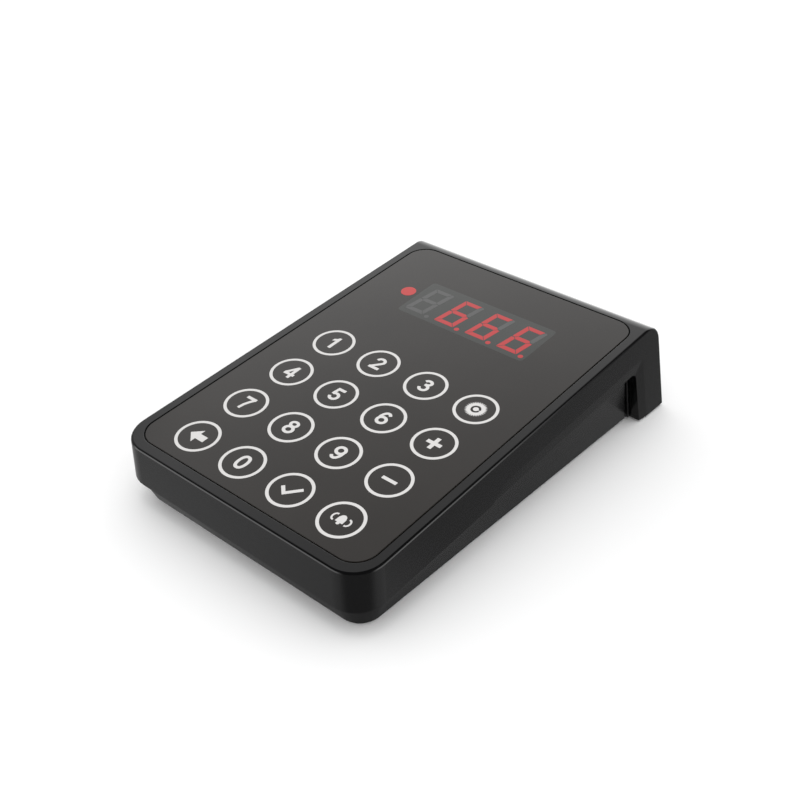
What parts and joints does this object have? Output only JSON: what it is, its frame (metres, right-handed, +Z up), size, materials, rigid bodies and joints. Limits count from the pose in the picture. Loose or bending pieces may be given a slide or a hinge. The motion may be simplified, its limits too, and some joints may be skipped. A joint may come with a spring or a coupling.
{
  "type": "desktop call keypad transmitter",
  "caption": "Wedge-shaped black desktop unit with a flush touch panel of printed round keys, a four-digit red LED readout, a status LED, and a rear wall with power inlet and rocker switch.",
  "frame": {"origin": "middle of the footprint, on the surface that the rubber feet stand on", "axes": "+Z up, -Y towards the user, +Y towards the rear wall, +X to the right of the user"},
  "size_m": [0.0982, 0.149, 0.0352],
  "materials": {
    "case_top": "gloss black moulded ABS",
    "case_base": "satin black moulded ABS",
    "touch_panel": "polished dark smoked acrylic with light grey printed key rings and symbols",
    "tape": "matt black foam tape",
    "circuit_board": "green solder mask",
    "display_body": "grey display housing",
    "led_red": "red diffused LED epoxy",
    "spacer_black": "matt black nylon",
    "component_black": "matt black epoxy and moulded parts",
    "radio_blue": "blue card with a metal can",
    "capacitor_can": "aluminium can",
    "copper": "copper plated spring wire",
    "spring_steel": "bright spring wire",
    "plated_steel": "zinc plated steel",
    "switch_black": "fine textured black nylon",
    "rocker_black": "satin black nylon",
    "foot_rubber": "matt black rubber"
  },
  "bodies": {
    "case": {"top_cover": "case_top", "bottom_cover": "case_base", "touch_panel": "touch_panel", "panel_adhesive": "tape", "main_board": "circuit_board", "led_display": "display_body", "status_led": "led_red", "led_spacer": "spacer_black", "buzzer": "component_black", "radio_module": "radio_blue", "microcontroller": "component_black", "touch_controller": "component_black", "voltage_regulator": "component_black", "supply_capacitor": "capacitor_can", "spring_antenna": "copper", "power_jack": "component_black", "power_jack_pin": "plated_steel", "switch_body": "switch_black", "touch_spring_1": "spring_steel", "touch_spring_2": "spring_steel", "touch_spring_3": "spring_steel", "touch_spring_settings": "spring_steel", "touch_spring_4": "spring_steel", "touch_spring_5": "spring_steel", "touch_spring_6": "spring_steel", "touch_spring_plus": "spring_steel", "touch_spring_7": "spring_steel", "touch_spring_8": "spring_steel", "touch_spring_9": "spring_steel", "touch_spring_minus": "spring_steel", "touch_spring_back": "spring_steel", "touch_spring_0": "spring_steel", "touch_spring_confirm": "spring_steel", "touch_spring_call": "spring_steel", "board_screw_1": "plated_steel", "base_screw_1": "plated_steel", "rubber_foot_1": "foot_rubber", "board_screw_2": "plated_steel", "base_screw_2": "plated_steel", "rubber_foot_2": "foot_rubber", "board_screw_3": "plated_steel", "base_screw_3": "plated_steel", "rubber_foot_3": "foot_rubber", "board_screw_4": "plated_steel", "base_screw_4": "plated_steel", "rubber_foot_4": "foot_rubber"},
    "rocker": {"power_rocker": "rocker_black"}
  },
  "joints": [
    {"name": "rocker_tilt", "type": "hinge", "parent": "case", "child": "rocker", "pos_m": [0.021, 0.06923, 0.01697], "axis": [1, 0, 0], "range_deg": [-16, 0]}
  ]
}
